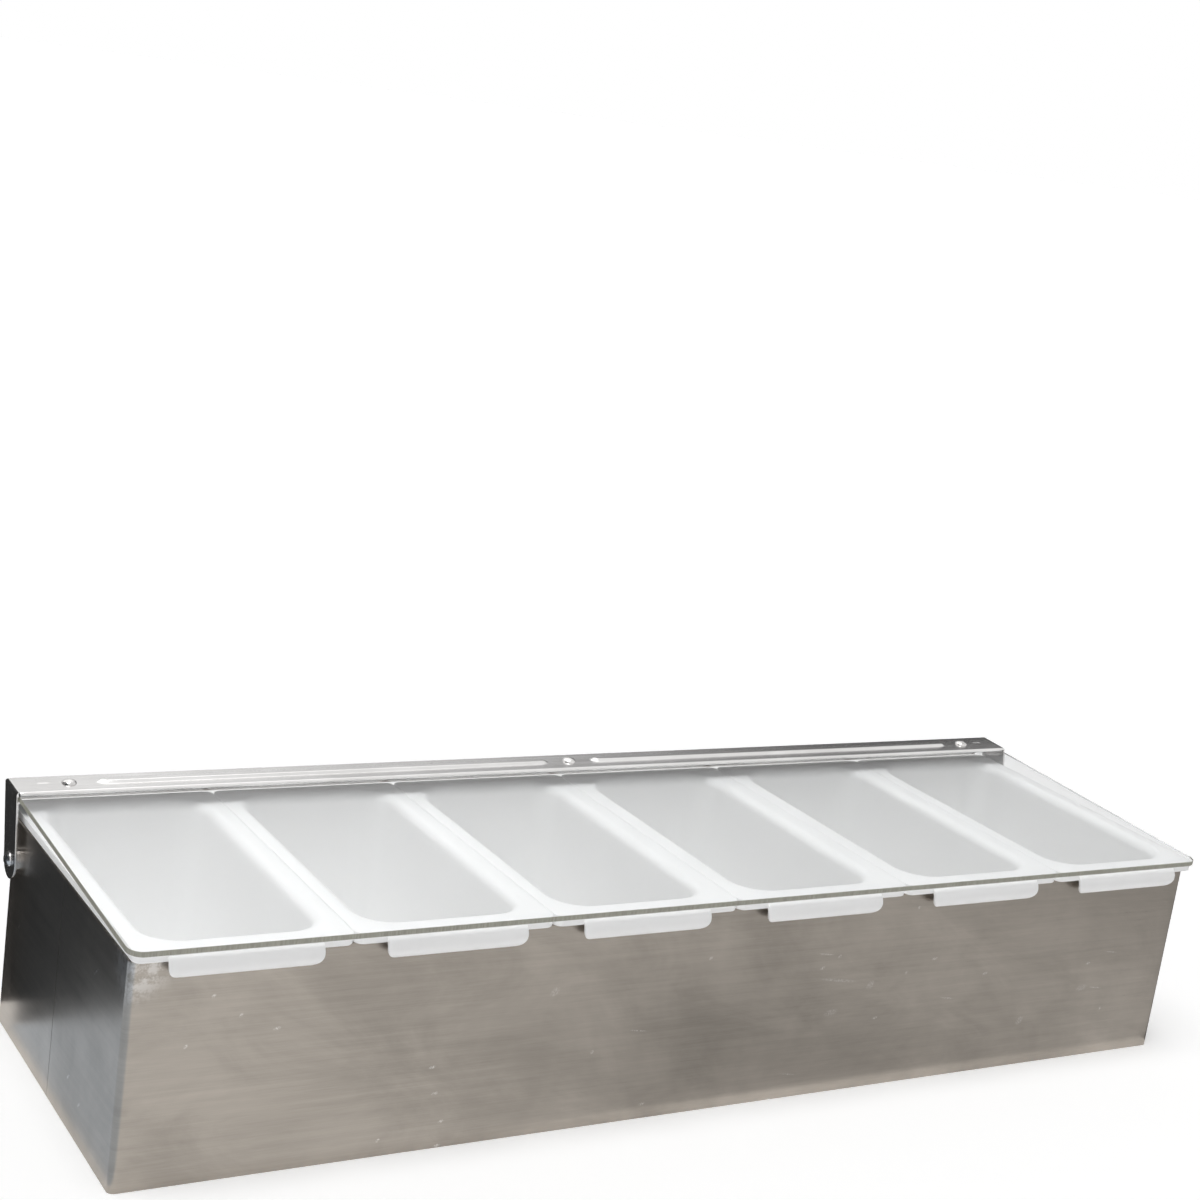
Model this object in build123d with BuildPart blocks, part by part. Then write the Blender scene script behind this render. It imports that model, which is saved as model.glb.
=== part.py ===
from build123d import *
import os
from math import cos, radians, sin

# Bar garnish tray: a folded stainless housing, six moulded inserts and a clear lid on a riveted hinge bar.
# Millimetres, +X along the front, +Y away from the user, +Z up.
# The origin is the middle of the housing's footprint, on the surface that it stands on.

# Housing: two bent halves of sheet, lapped and welded at a seam in each side, round a flat bottom pan
housing_length = 480.0
housing_depth = 140.0
housing_height = 84.5
sheet = 0.8
corner_radius = 2.5
hem_depth = 6.0
hem_edge_share = 0.4
seam_behind_middle = 3.0
seam_gap = 0.3
lap_length = 9.0
lap_clearance = 0.05
joggle_run = 4.0
joggle_radius = 2.0
lap_end_clearance = 1.0
pan_flange = 9.0
pan_clearance = 0.1
pan_bend = 0.6

# Inserts: six alike, side by side, with a lipped rim over the walls and a rolled finger tab in front
insert_count = 6
row_start_clearance = 0.1
row_overhang = 1.3
insert_gap_shares = (0.004, 0.004, 0.042, 0.042, 0.004)
rim_front_overhang = 3.5
rim_rear_overhang = 1.5
rim_lift = 3.5
rim_thickness = 1.6
rim_side_land = 8.6
rim_end_land = 9.6
rim_corner_radius = 3.5
lip_thickness = 1.4
lip_clearance = 0.4
mouth_corner_radius = 12.0
mouth_flare = 4.2
under_rim_flare = 2.8
insert_wall = 1.5
insert_floor = 1.8
insert_draft = 2.5
flare_angle = 45.0
tab_length = 55.5
tab_drop = 8.6
tab_reach = 1.8
tab_root = 2.0
tab_tuck = 0.3
tab_thickness = 1.5
tab_corner_radius = 5.0
tab_bulge_share = 0.43

# Lid: a clear flat sheet that slopes down to the front, just above the front rims
lid_thickness = 2.0
lid_tilt = 2.3
lid_rest_gap = 0.3
lid_front_overhang = 2.0
lid_side_overhang = 2.0
lid_front_radius = 5.5
lid_rear_radius = 1.5
lid_rear_gap = 0.4

# Hinge bar: a pressed strip over the lid's rear edge, hemmed in front, flanged behind, with two bent ears
bar_sheet = 0.8
bar_depth = 16.6
bar_hem_width = 5.0
bar_hem_gap = 0.15
bar_bend_radius = 1.4
flange_clearance = 1.9
flange_drop = 6.7
flange_relief = 4.0
ear_clearance = 0.2
ear_end_radius = 7.5
ear_bend_radius = 1.2
ear_front_inset = 0.6
bead_width = 5.6
bead_height = 1.0
bead_taper = 35.0
bead_from_middle = 10.5
bead_from_ear = 31.7
dimple_length = 6.0
dimple_width = 3.0
dimple_depth = 0.35
dimple_from_ear = 11.2

# Rivets and washers
lid_rivet_radius = 1.6
lid_rivet_head_radius = 2.9
lid_rivet_head_height = 1.5
lid_rivet_tail_radius = 2.4
lid_rivet_tail_height = 0.9
lid_rivet_from_ear = 21.2
lid_washer_radius = 4.0
lid_washer_thickness = 0.8
rivet_hole_clearance = 0.05
hinge_rivet_radius = 2.0
hinge_rivet_head_radius = 3.0
hinge_rivet_head_height = 2.0
hinge_rivet_tail_radius = 3.0
hinge_rivet_tail_height = 1.2
hinge_running_clearance = 0.05
hinge_end_play = 0.1
hinge_washer_radius = 4.5
pivot_from_bar_rear = 13.9
pivot_drop = 23.9
overrun = 1.0

# Places worked out from the sizes above
seam_y = seam_behind_middle
rim_front_y = -housing_depth / 2 - rim_front_overhang
rim_rear_y = housing_depth / 2 + rim_rear_overhang
rim_depth = rim_rear_y - rim_front_y
rim_centre_y = (rim_front_y + rim_rear_y) / 2
rim_top = housing_height + rim_lift
rim_height = rim_lift - lip_clearance
insert_row_length = housing_length - row_start_clearance + row_overhang
rim_length = insert_row_length / (insert_count + sum(insert_gap_shares))
mouth_length = rim_length - 2 * rim_side_land
mouth_depth = rim_depth - 2 * rim_end_land
insert_height = rim_top - sheet

ear_inner = housing_length / 2 + lid_side_overhang + ear_clearance
ear_outer = ear_inner + bar_sheet
lid_normal = (0, -sin(radians(lid_tilt)), cos(radians(lid_tilt)))
lid_plane = Plane(origin=(0, rim_front_y, rim_top + lid_rest_gap), x_dir=(1, 0, 0), z_dir=lid_normal)
flange_inner = rim_depth + flange_clearance
bar_rear = flange_inner + bar_sheet
bar_front = bar_rear - bar_depth
bar_middle = (bar_front + bar_rear) / 2
plate_under = lid_thickness + bar_sheet + bar_hem_gap
plate_top = plate_under + bar_sheet
pivot_inset = bar_rear - pivot_from_bar_rear
pivot = lid_plane.from_local_coords((0, pivot_inset, -pivot_drop))
lid_rivet_x = ear_inner - lid_rivet_from_ear
lid_rivet_places = {"left": -lid_rivet_x, "middle": 0, "right": lid_rivet_x}
sides = {"left": -1, "right": 1}


def plane_over_lid(x, y, height):
    """Give a plane parallel to the lid, at a place counted from the lid's underside."""
    return Plane(origin=lid_plane.from_local_coords((x, y, height)), x_dir=(1, 0, 0), z_dir=lid_plane.z_dir)


def section_across_lid(x):
    """Give a plane square to the length, with its x back along the lid and its y along the lid's normal."""
    return Plane(origin=lid_plane.from_local_coords((x, 0, 0)), x_dir=lid_plane.y_dir, z_dir=(1, 0, 0))


def half_wall_plan(thickness, end, seam_end):
    """Draw half of the wall in plan: this much sheet, with its outer side on the housing's outline."""
    half_length = (housing_length - thickness) / 2
    half_depth = (housing_depth - thickness) / 2
    with BuildSketch() as plan:
        with BuildLine():
            FilletPolyline(
                (-half_length, seam_end),
                (-half_length, end * half_depth),
                (half_length, end * half_depth),
                (half_length, seam_end),
                radius=corner_radius - thickness / 2,
            )
        trace(line_width=thickness)
    return plan.sketch


def lap_tongue_plan(side):
    """Draw the strip that steps inwards from the rear half's end and slides behind the front half's end."""
    wall_middle = side * (housing_length - sheet) / 2
    tongue_middle = wall_middle - side * (sheet + lap_clearance)
    with BuildSketch() as plan:
        with BuildLine():
            FilletPolyline(
                (tongue_middle, seam_y - lap_length),
                (tongue_middle, seam_y + seam_gap),
                (wall_middle, seam_y + seam_gap + joggle_run),
                (wall_middle, seam_y + seam_gap + 2 * joggle_run),
                radius=joggle_radius,
            )
        trace(line_width=sheet)
    return plan.sketch


def hem_edges(shell, seam_end):
    """Pick the long edges of the folded top, not the short ones at the seam."""
    top = shell.faces().sort_by(Axis.Z)[-1]
    return top.edges().filter_by(lambda edge: abs(edge.center().Y - seam_end) > sheet)


# Front half of the wall: bent round both front corners, with its top edge folded inwards into a hem
front_seam_end = seam_y - seam_gap / 2
with BuildPart() as front_shell:
    with BuildSketch(Plane.XY):
        add(half_wall_plan(sheet, -1, front_seam_end))
    extrude(amount=housing_height)
    with BuildSketch(Plane.XY.offset(housing_height - hem_depth)):
        add(half_wall_plan(2 * sheet, -1, front_seam_end))
    extrude(amount=hem_depth)
    chamfer(hem_edges(front_shell, front_seam_end), length=hem_edge_share * sheet)
front_shell.part.label = "front_shell"

# Rear half of the wall: the same fold, a lapped tongue at each seam and a hole for each hinge rivet
rear_seam_end = seam_y + seam_gap / 2
tongue_bottom = pan_flange + lap_end_clearance
tongue_top = housing_height - hem_depth - lap_end_clearance
with BuildPart() as rear_shell:
    with BuildSketch(Plane.XY):
        add(half_wall_plan(sheet, 1, rear_seam_end))
    extrude(amount=housing_height)
    with BuildSketch(Plane.XY.offset(housing_height - hem_depth)):
        add(half_wall_plan(2 * sheet, 1, rear_seam_end))
    extrude(amount=hem_depth)
    chamfer(hem_edges(rear_shell, rear_seam_end), length=hem_edge_share * sheet)
    with BuildSketch(Plane.XY.offset(tongue_bottom)):
        for side in sides.values():
            add(lap_tongue_plan(side))
    extrude(amount=tongue_top - tongue_bottom)
    with Locations((0, pivot.Y, pivot.Z)):
        Cylinder(
            radius=hinge_rivet_radius + rivet_hole_clearance,
            height=housing_length + overrun,
            rotation=(0, 90, 0),
            mode=Mode.SUBTRACT,
        )
rear_shell.part.label = "rear_shell"

# Bottom pan: flat sheet with a flange turned up all round, welded inside the walls and flush with their feet
pan_length = housing_length - 2 * sheet - 2 * pan_clearance
pan_depth = housing_depth - 2 * sheet - 2 * pan_clearance
pan_corner_radius = corner_radius - sheet - pan_clearance
with BuildPart() as base_pan:
    with BuildSketch(Plane.XY):
        RectangleRounded(pan_length, pan_depth, pan_corner_radius)
    extrude(amount=pan_flange)
    chamfer(base_pan.faces().sort_by(Axis.Z)[0].edges(), length=pan_bend)
    with BuildSketch(Plane.XY.offset(sheet)):
        RectangleRounded(pan_length - 2 * sheet, pan_depth - 2 * sheet, pan_corner_radius - sheet)
    extrude(amount=pan_flange, mode=Mode.SUBTRACT)
base_pan.part.label = "base_pan"


def build_tab(centre_x):
    """Mould one finger tab: a strip that rolls out from the rim's front edge, down and back to the wall."""
    half_thickness = tab_thickness / 2
    root = (rim_front_y + tab_root, rim_top - half_thickness)
    bulge = (rim_front_y - tab_reach + half_thickness, rim_top - tab_bulge_share * tab_drop)
    foot = (rim_front_y + tab_tuck + half_thickness, rim_top - tab_drop)
    with BuildPart() as tab:
        with BuildSketch(Plane.YZ.offset(centre_x - tab_length / 2)):
            with BuildLine():
                ThreePointArc(root, bulge, foot)
            trace(line_width=tab_thickness)
        extrude(amount=tab_length)
        outline = Plane(origin=(centre_x, 0, rim_top), x_dir=(1, 0, 0), z_dir=(0, -1, 0))
        with BuildSketch(outline):
            RectangleRounded(tab_length, 2 * tab_drop + tab_thickness, tab_corner_radius)
        extrude(amount=housing_depth, mode=Mode.INTERSECT)
    return tab.part


def build_drafted_box(length, depth, height, radius, draft):
    """Make a box as it leaves the mould, mouth down: its walls lean inwards and its corners are round."""
    with BuildPart() as box:
        with BuildSketch(Plane.XY):
            Rectangle(length, depth)
        extrude(amount=height, taper=draft)
        slanted = [edge for edge in box.edges() if edge.bounding_box().size.Z > height / 2]
        fillet(slanted, radius=radius)
    return box.part


def build_insert(centre_x):
    """Mould one insert: a tapered tub on the pan, flared into a lipped rim, with a finger tab in front."""
    outer_length = mouth_length + 2 * insert_wall
    outer_depth = mouth_depth + 2 * insert_wall
    outer_radius = mouth_corner_radius + insert_wall
    tub = build_drafted_box(outer_length, outer_depth, insert_height, outer_radius, insert_draft)
    collar = build_drafted_box(
        length=outer_length + 2 * under_rim_flare,
        depth=outer_depth + 2 * under_rim_flare,
        height=under_rim_flare + insert_wall,
        radius=outer_radius + under_rim_flare / 2,
        draft=flare_angle,
    )
    cavity_height = insert_height - insert_floor
    cavity = build_drafted_box(mouth_length, mouth_depth, cavity_height, mouth_corner_radius, insert_draft)
    flare = build_drafted_box(
        length=mouth_length + 2 * mouth_flare,
        depth=mouth_depth + 2 * mouth_flare,
        height=mouth_flare + insert_wall,
        radius=mouth_corner_radius + mouth_flare / 2,
        draft=flare_angle,
    )
    tab = build_tab(centre_x)
    with BuildPart() as insert:
        with BuildSketch(Plane(origin=(centre_x, rim_centre_y, rim_top - rim_height))):
            RectangleRounded(rim_length, rim_depth, rim_corner_radius)
        extrude(amount=rim_height)
        with BuildSketch(Plane(origin=(centre_x, rim_centre_y, rim_top - rim_height))):
            Rectangle(rim_length - 2 * lip_thickness, rim_depth - 2 * lip_thickness)
        extrude(amount=rim_height - rim_thickness, mode=Mode.SUBTRACT)
        with Locations(Location((centre_x, rim_centre_y, rim_top - rim_thickness), (180, 0, 0))):
            add(collar)
        with Locations(Location((centre_x, rim_centre_y, rim_top), (180, 0, 0))):
            add(tub)
            add(cavity, mode=Mode.SUBTRACT)
            add(flare, mode=Mode.SUBTRACT)
        add(tab)
    return insert


# Inserts, from left to right
inserts = {}
insert_left = -housing_length / 2 + row_start_clearance
for index in range(insert_count):
    name = f"insert_{index + 1}"
    inserts[name] = build_insert(insert_left + rim_length / 2)
    inserts[name].part.label = name
    gap_share = insert_gap_shares[index] if index < len(insert_gap_shares) else 0
    insert_left += rim_length * (1 + gap_share)

# Lid: cut from flat clear sheet, with rounded front corners and three rivet holes under the hinge bar
lid_length = housing_length + 2 * lid_side_overhang
lid_rear = flange_inner - lid_rear_gap
lid_depth = lid_rear + lid_front_overhang
with BuildPart() as lid:
    with BuildSketch(plane_over_lid(0, (lid_rear - lid_front_overhang) / 2, 0)) as lid_outline:
        Rectangle(lid_length, lid_depth)
        corners = lid_outline.vertices().group_by(Axis.Y)
        fillet(corners[0], radius=lid_front_radius)
        fillet(corners[-1], radius=lid_rear_radius)
    extrude(amount=lid_thickness)
    with BuildSketch(plane_over_lid(0, bar_middle, -overrun)):
        with Locations(*[(x, 0) for x in lid_rivet_places.values()]):
            Circle(lid_rivet_radius + rivet_hole_clearance)
    extrude(amount=lid_thickness + 2 * overrun, mode=Mode.SUBTRACT)
lid.part.label = "lid"


def bar_section(with_flange):
    """Draw the strip from the side: hem under the front, flat top and, where asked, the flange behind."""
    return_height = lid_thickness + bar_sheet / 2
    top_height = plate_top - bar_sheet / 2
    fold_radius = (top_height - return_height) / 2
    fold_start = bar_front + bar_sheet / 2 + fold_radius
    fold_nose = (bar_front + bar_sheet / 2, (return_height + top_height) / 2)
    flange_middle = bar_rear - bar_sheet / 2
    with BuildSketch() as section:
        with BuildLine():
            Line((bar_front + bar_hem_width, return_height), (fold_start, return_height))
            ThreePointArc((fold_start, return_height), fold_nose, (fold_start, top_height))
            if with_flange:
                FilletPolyline(
                    (fold_start, top_height),
                    (flange_middle, top_height),
                    (flange_middle, -flange_drop),
                    radius=bar_bend_radius - bar_sheet / 2,
                )
            else:
                Line((fold_start, top_height), (bar_rear, top_height))
        trace(line_width=bar_sheet)
    return section.sketch


def build_ears():
    """Bend both ends of the strip down, then trim them from the side to a taper with a round end."""
    ear_middle = ear_inner + bar_sheet / 2
    top_height = plate_top - bar_sheet / 2
    lowest = -pivot_drop - ear_end_radius
    ear_width = bar_depth - ear_front_inset
    rear_origin = lid_plane.from_local_coords((0, bar_rear, 0))
    with BuildPart() as ears:
        with BuildSketch(Plane(origin=rear_origin, x_dir=(1, 0, 0), z_dir=-lid_plane.y_dir)):
            with BuildLine():
                FilletPolyline(
                    (-ear_middle, lowest),
                    (-ear_middle, top_height),
                    (ear_middle, top_height),
                    (ear_middle, lowest),
                    radius=ear_bend_radius - bar_sheet / 2,
                )
            trace(line_width=bar_sheet)
        extrude(amount=ear_width)
        with BuildSketch(section_across_lid(-ear_outer)):
            with Locations((pivot_inset, -pivot_drop)):
                Circle(ear_end_radius)
            with Locations((bar_rear - ear_width / 2, top_height)):
                Rectangle(ear_width, bar_sheet)
            make_hull()
        extrude(amount=2 * ear_outer, mode=Mode.INTERSECT)
    return ears.part


# Hinge bar: pressed and folded from one strip
flange_end = ear_inner - flange_relief
bead_outer_end = ear_inner - bead_from_ear
bead_length = bead_outer_end - bead_from_middle
bead_centre = (bead_outer_end + bead_from_middle) / 2
bead_places = [(-bead_centre, 0), (bead_centre, 0)]
dimple_x = ear_inner - dimple_from_ear
with BuildPart() as hinge_bar:
    with BuildSketch(section_across_lid(-flange_end)):
        add(bar_section(with_flange=True))
    extrude(amount=2 * flange_end)
    with BuildSketch(section_across_lid(-ear_inner)):
        add(bar_section(with_flange=False))
    extrude(amount=2 * ear_inner)
    add(build_ears())
    with BuildSketch(plane_over_lid(0, bar_middle, plate_top)):
        with Locations(*bead_places):
            SlotOverall(bead_length, bead_width)
    extrude(amount=bead_height, taper=bead_taper)
    with BuildSketch(plane_over_lid(0, bar_middle, plate_under)):
        with Locations(*bead_places):
            SlotOverall(bead_length - 2 * bar_sheet, bead_width - 2 * bar_sheet)
    extrude(amount=bead_height, mode=Mode.SUBTRACT)
    with BuildSketch(plane_over_lid(0, bar_middle, plate_top)):
        with Locations((-dimple_x, 0), (dimple_x, 0)):
            SlotOverall(dimple_length, dimple_width)
    extrude(amount=-dimple_depth, mode=Mode.SUBTRACT)
    with BuildSketch(plane_over_lid(0, bar_middle, lid_thickness)):
        with Locations(*[(x, 0) for x in lid_rivet_places.values()]):
            Circle(lid_rivet_radius + rivet_hole_clearance)
    extrude(amount=plate_top, mode=Mode.SUBTRACT)
    with Locations((0, pivot.Y, pivot.Z)):
        Cylinder(
            radius=hinge_rivet_radius + hinge_running_clearance,
            height=2 * (ear_outer + overrun),
            rotation=(0, 90, 0),
            mode=Mode.SUBTRACT,
        )
hinge_bar.part.label = "hinge_bar"


def build_rivet(seat, radius, grip, head_radius, head_height, tail_radius, tail_height):
    """Turn one rivet: a head on its seat, a shank through the grip and a tail hammered flat."""
    section = Plane(origin=seat.origin, x_dir=seat.x_dir, z_dir=-seat.y_dir)
    with BuildPart() as rivet:
        with BuildSketch(section):
            with BuildLine():
                Polyline(
                    (0, head_height),
                    (head_radius, head_height),
                    (head_radius, 0),
                    (radius, 0),
                    (radius, -grip),
                    (tail_radius, -grip),
                    (tail_radius, -grip - tail_height),
                    (0, -grip - tail_height),
                    (0, head_height),
                )
            make_face()
        revolve(axis=Axis(seat.origin, seat.z_dir))
    return rivet


def build_washer(face, outer_radius, bore_radius, thickness):
    """Punch one flat washer, standing on this plane."""
    with BuildPart() as washer:
        with BuildSketch(face):
            Circle(outer_radius)
            Circle(bore_radius, mode=Mode.SUBTRACT)
        extrude(amount=thickness)
    return washer


# Lid rivets clamp bar and lid on a washer under the lid
lid_rivets = {}
rivet_washers = {}
for place, x in lid_rivet_places.items():
    lid_rivets[place] = build_rivet(
        seat=plane_over_lid(x, bar_middle, plate_top),
        radius=lid_rivet_radius,
        grip=plate_top + lid_washer_thickness,
        head_radius=lid_rivet_head_radius,
        head_height=lid_rivet_head_height,
        tail_radius=lid_rivet_tail_radius,
        tail_height=lid_rivet_tail_height,
    )
    lid_rivets[place].part.label = f"lid_rivet_{place}"
    rivet_washers[place] = build_washer(
        face=plane_over_lid(x, bar_middle, -lid_washer_thickness),
        outer_radius=lid_washer_radius,
        bore_radius=lid_rivet_radius + rivet_hole_clearance,
        thickness=lid_washer_thickness,
    )
    rivet_washers[place].part.label = f"rivet_washer_{place}"

# Hinge rivets pass through ear, washer and side wall; the ear turns on the shank
hinge_rivets = {}
hinge_washers = {}
washer_gap = ear_inner - housing_length / 2 - hinge_end_play
for place, side in sides.items():
    hinge_rivets[place] = build_rivet(
        seat=Plane(
            origin=(side * (ear_outer + hinge_end_play), pivot.Y, pivot.Z),
            x_dir=(0, 1, 0),
            z_dir=(side, 0, 0),
        ),
        radius=hinge_rivet_radius,
        grip=ear_outer + hinge_end_play - housing_length / 2 + sheet,
        head_radius=hinge_rivet_head_radius,
        head_height=hinge_rivet_head_height,
        tail_radius=hinge_rivet_tail_radius,
        tail_height=hinge_rivet_tail_height,
    )
    hinge_rivets[place].part.label = f"hinge_rivet_{place}"
    hinge_washers[place] = build_washer(
        face=Plane(origin=(side * housing_length / 2, pivot.Y, pivot.Z), x_dir=(0, 1, 0), z_dir=(side, 0, 0)),
        outer_radius=hinge_washer_radius,
        bore_radius=hinge_rivet_radius + rivet_hole_clearance,
        thickness=washer_gap,
    )
    hinge_washers[place].part.label = f"hinge_washer_{place}"

# One file for each piece
os.makedirs("parts", exist_ok=True)
export_step(front_shell.part, "parts/front_shell.step")
export_step(rear_shell.part, "parts/rear_shell.step")
export_step(base_pan.part, "parts/base_pan.step")
export_step(lid.part, "parts/lid.step")
export_step(hinge_bar.part, "parts/hinge_bar.step")
for name, insert in inserts.items():
    export_step(insert.part, f"parts/{name}.step")
for place in lid_rivet_places:
    export_step(lid_rivets[place].part, f"parts/lid_rivet_{place}.step")
    export_step(rivet_washers[place].part, f"parts/rivet_washer_{place}.step")
for place in sides:
    export_step(hinge_rivets[place].part, f"parts/hinge_rivet_{place}.step")
    export_step(hinge_washers[place].part, f"parts/hinge_washer_{place}.step")
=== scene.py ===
import bmesh
import bpy
import math
from mathutils import Matrix, Vector


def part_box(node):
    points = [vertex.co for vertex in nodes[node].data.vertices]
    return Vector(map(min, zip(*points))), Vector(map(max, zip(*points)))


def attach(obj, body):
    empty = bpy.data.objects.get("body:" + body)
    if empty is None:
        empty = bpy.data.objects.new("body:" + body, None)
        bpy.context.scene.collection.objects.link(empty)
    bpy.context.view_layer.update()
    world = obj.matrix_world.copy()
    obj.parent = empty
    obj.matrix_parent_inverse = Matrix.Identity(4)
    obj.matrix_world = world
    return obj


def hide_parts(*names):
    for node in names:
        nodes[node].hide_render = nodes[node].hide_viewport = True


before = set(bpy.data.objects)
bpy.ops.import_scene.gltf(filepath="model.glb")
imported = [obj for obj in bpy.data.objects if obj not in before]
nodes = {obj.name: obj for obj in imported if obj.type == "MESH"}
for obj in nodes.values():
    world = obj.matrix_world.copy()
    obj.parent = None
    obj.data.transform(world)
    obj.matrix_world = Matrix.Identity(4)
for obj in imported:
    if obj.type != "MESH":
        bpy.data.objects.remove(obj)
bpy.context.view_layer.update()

# The camera stands in front of the tray's left end, a little above it and tipped to one side, as for the photograph.
# Its place is the one that brings the housing's corners to where the photograph has them.
camera_place = Vector((-0.4702, -0.6959, 0.3793))
camera_azimuth = math.radians(-31.9)
camera_elevation = math.radians(13.2)
camera_roll = math.radians(8.1)
camera_sensor = 36
camera_lens = 64.53
camera_shift = (0.0008, 0.0025)
camera_back = Vector((
    math.sin(camera_azimuth) * math.cos(camera_elevation),
    -math.cos(camera_azimuth) * math.cos(camera_elevation),
    math.sin(camera_elevation),
))
level_right = Vector((0, 0, 1)).cross(camera_back).normalized()
level_up = camera_back.cross(level_right)
camera_right = level_right * math.cos(camera_roll) + level_up * math.sin(camera_roll)
camera_up = level_up * math.cos(camera_roll) - level_right * math.sin(camera_roll)
camera_data = bpy.data.cameras.new("camera")
camera_data.sensor_width = camera_sensor
camera_data.lens = camera_lens
camera_data.shift_x, camera_data.shift_y = camera_shift
camera = bpy.data.objects.new("camera", camera_data)
camera.matrix_world = Matrix((
    (camera_right.x, camera_up.x, camera_back.x, camera_place.x),
    (camera_right.y, camera_up.y, camera_back.y, camera_place.y),
    (camera_right.z, camera_up.z, camera_back.z, camera_place.z),
    (0, 0, 0, 1),
))
bpy.context.scene.collection.objects.link(camera)
bpy.context.scene.camera = camera

# Housing: two bent halves of brushed stainless sheet, lapped at a seam in each side, round a flat bottom pan.
# The grain runs along the walls, and handling has left faint smudges, short scuffs and a few shallow dings.
steel_light = (0.575, 0.52, 0.46, 1)
steel_dark = (0.28, 0.253, 0.222, 1)
steel_scuffed = (0.74, 0.71, 0.68, 1)
grain_along = 40.0
grain_across = 1500.0
blotch_stretch = (1, 1, 2.2)
blotch_turn = (0, 0.35, 0)
scuff_lays = ((0.2, (0.55, 1.3, 1)), (-0.15, (0.2, 2.6, 1)), (0.8, (0.8, 1.2, 1)))
scuff_slant = 0.6
rubbed_corner = (-0.24, -0.07, 0.0845)
wall_roughness = 0.31
mark_depth = 0.8
wall_relief = 0.07
relief_depth = 0.0001


def add(tree, kind, **settings):
    """Add a shader or geometry node, with its plain settings."""
    node = tree.nodes.new(kind)
    for name, value in settings.items():
        setattr(node, name, value)
    return node


def join(tree, source, socket):
    """Feed a socket from another socket, or set it to a constant."""
    if isinstance(source, bpy.types.NodeSocket):
        tree.links.new(source, socket)
    else:
        socket.default_value = source


def calc(tree, operation, first, second=0.0, clamp=False):
    """Join two values by arithmetic; either may be a socket or a number."""
    node = add(tree, "ShaderNodeMath", operation=operation, use_clamp=clamp)
    join(tree, first, node.inputs[0])
    join(tree, second, node.inputs[1])
    return node.outputs[0]


def gather(tree, operation, *parts):
    """Join values, each weighed by its share, into one by the same arithmetic."""
    total = None
    for source, share in parts:
        part = calc(tree, "MULTIPLY", source, share)
        total = part if total is None else calc(tree, operation, total, part)
    return total


def blend_colours(tree, factor, first, second):
    """Blend two colours by a factor; each may be a socket or a constant."""
    node = add(tree, "ShaderNodeMix", data_type="RGBA")
    for index, source in ((0, factor), (6, first), (7, second)):
        join(tree, source, node.inputs[index])
    return node.outputs[2]


def ease(tree, source, low, high, start=0.0, end=1.0):
    """Stretch a value between two marks, smoothly."""
    node = add(tree, "ShaderNodeMapRange", interpolation_type="SMOOTHSTEP")
    for name, value in (("Value", source), ("From Min", low), ("From Max", high), ("To Min", start), ("To Max", end)):
        join(tree, value, node.inputs[name])
    return node.outputs["Result"]


def stretched(tree, vector, scale, turn=(0, 0, 0)):
    """Turn a pattern's coordinates, if a turn is given, and then stretch them."""
    turned = any(turn)
    node = add(tree, "ShaderNodeMapping", vector_type="TEXTURE" if turned else "POINT")
    node.inputs["Rotation"].default_value = turn
    node.inputs["Scale"].default_value = tuple(1 / value for value in scale) if turned else scale
    join(tree, vector, node.inputs["Vector"])
    return node.outputs["Vector"]


def noise(tree, vector, scale=1.0, detail=3.0, roughness=0.55, distortion=0.0):
    """Sample a noise pattern."""
    node = add(tree, "ShaderNodeTexNoise")
    for name, value in (
        ("Vector", vector), ("Scale", scale), ("Detail", detail), ("Roughness", roughness), ("Distortion", distortion),
    ):
        join(tree, value, node.inputs[name])
    return node.outputs["Fac"]


def start_group(name, inputs, outputs):
    """Open a shader node group with named sockets."""
    group = bpy.data.node_groups.new(name, "ShaderNodeTree")
    for label, kind, value in inputs:
        socket = group.interface.new_socket(name=label, in_out="INPUT", socket_type=kind)
        if value is not None:
            socket.default_value = value
    for label in outputs:
        group.interface.new_socket(name=label, in_out="OUTPUT", socket_type="NodeSocketFloat")
    return group, add(group, "NodeGroupInput").outputs, add(group, "NodeGroupOutput").inputs


def use_group(tree, group, vector, **values):
    """Place a group in a material, with its own values."""
    node = add(tree, "ShaderNodeGroup", node_tree=group)
    join(tree, vector, node.inputs["Vector"])
    for name, value in values.items():
        node.inputs[name].default_value = value
    return node.outputs


def start_material(name):
    """Open a material and give it back with its tree, its shader and its object coordinates."""
    material = bpy.data.materials.new(name)
    material.use_nodes = True
    tree = material.node_tree
    return material, tree, tree.nodes["Principled BSDF"], add(tree, "ShaderNodeTexCoord").outputs["Object"]


def raise_surface(tree, shader, height, strength, distance):
    """Raise the surface by a height pattern."""
    node = add(tree, "ShaderNodeBump")
    for name, value in (("Strength", strength), ("Distance", distance), ("Height", height)):
        join(tree, value, node.inputs[name])
    tree.links.new(node.outputs["Normal"], shader.inputs["Normal"])


def dress(material, *names):
    """Give CAD nodes this material."""
    for name in names:
        mesh = nodes[name].data
        mesh.materials.clear()
        mesh.materials.append(material)


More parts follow.
